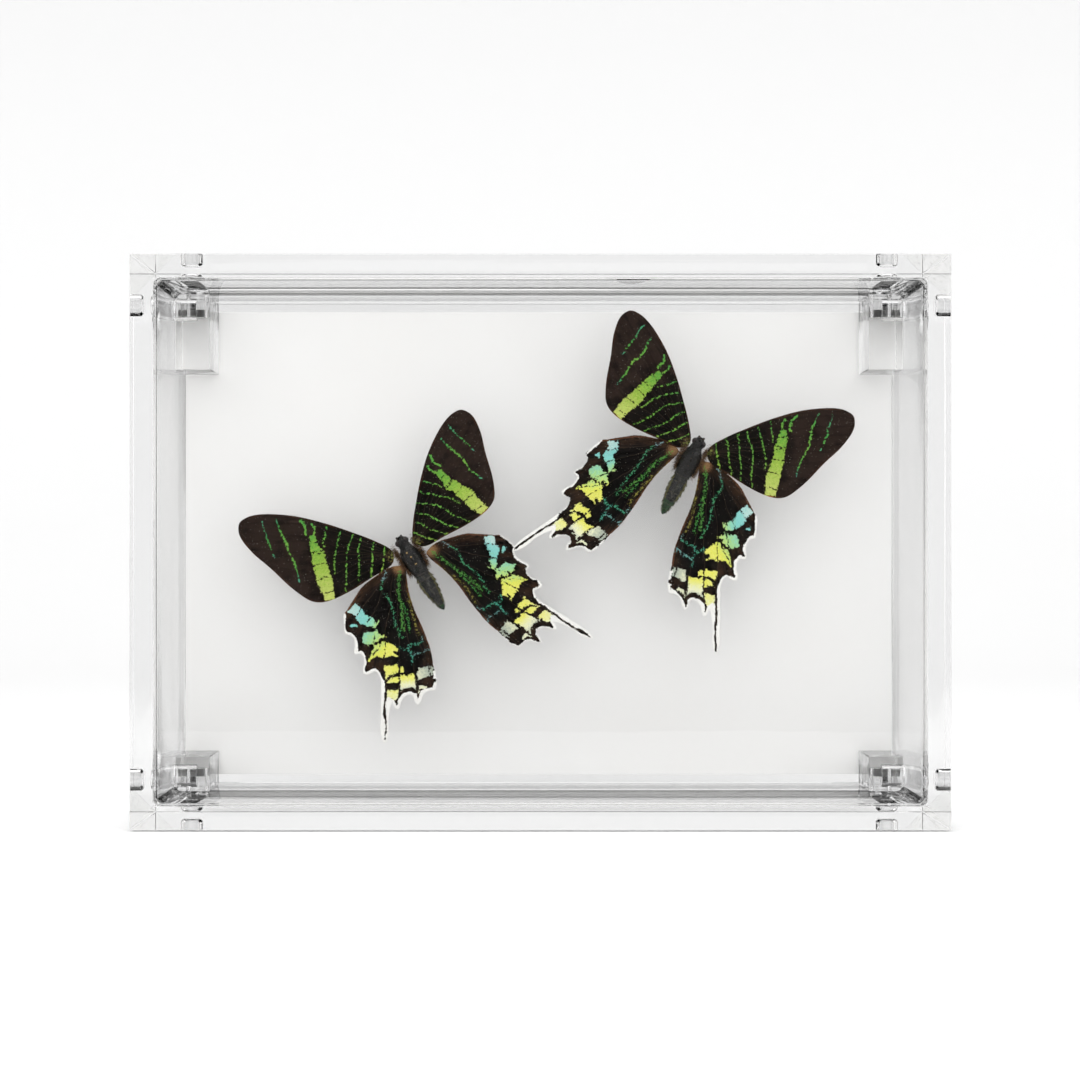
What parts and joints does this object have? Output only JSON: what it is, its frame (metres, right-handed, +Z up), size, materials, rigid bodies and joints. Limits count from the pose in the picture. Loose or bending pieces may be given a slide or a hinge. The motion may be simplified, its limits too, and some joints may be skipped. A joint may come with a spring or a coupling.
{
  "type": "framed sunset moth specimen",
  "caption": "Clear acrylic box frame with mitred walls and a white back, holding spread sunset moths with green-banded forewings and tailed hindwings.",
  "frame": {"origin": "on the surface that the box stands on, under the middle of the box", "axes": "+X to the right as seen from the front, along the box's width, +Y from the front to the back, +Z up"},
  "size_m": [0.216, 0.054, 0.1515],
  "materials": {
    "clear_acrylic": "polished clear cast sheet",
    "white_board": "matt white paper face",
    "wing_scales": "powdery scales with metallic green and yellow bands",
    "moth_body": "dried body, dark, short hair"
  },
  "bodies": {
    "root": {"back_panel": "clear_acrylic", "backing_board": "white_board", "bottom_left_block": "clear_acrylic", "bottom_left_side_pin": "clear_acrylic", "bottom_left_upright_pin": "clear_acrylic", "bottom_right_block": "clear_acrylic", "bottom_right_side_pin": "clear_acrylic", "bottom_right_upright_pin": "clear_acrylic", "bottom_wall": "clear_acrylic", "front_panel": "clear_acrylic", "left_moth_body": "moth_body", "left_moth_left_forewing": "wing_scales", "left_moth_left_hindwing": "wing_scales", "left_moth_post": "clear_acrylic", "left_moth_right_forewing": "wing_scales", "left_moth_right_hindwing": "wing_scales", "left_wall": "clear_acrylic", "right_moth_body": "moth_body", "right_moth_left_forewing": "wing_scales", "right_moth_left_hindwing": "wing_scales", "right_moth_post": "clear_acrylic", "right_moth_right_forewing": "wing_scales", "right_moth_right_hindwing": "wing_scales", "right_wall": "clear_acrylic", "top_left_block": "clear_acrylic", "top_left_side_pin": "clear_acrylic", "top_left_upright_pin": "clear_acrylic", "top_right_block": "clear_acrylic", "top_right_side_pin": "clear_acrylic", "top_right_upright_pin": "clear_acrylic", "top_wall": "clear_acrylic"}
  },
  "joints": []
}
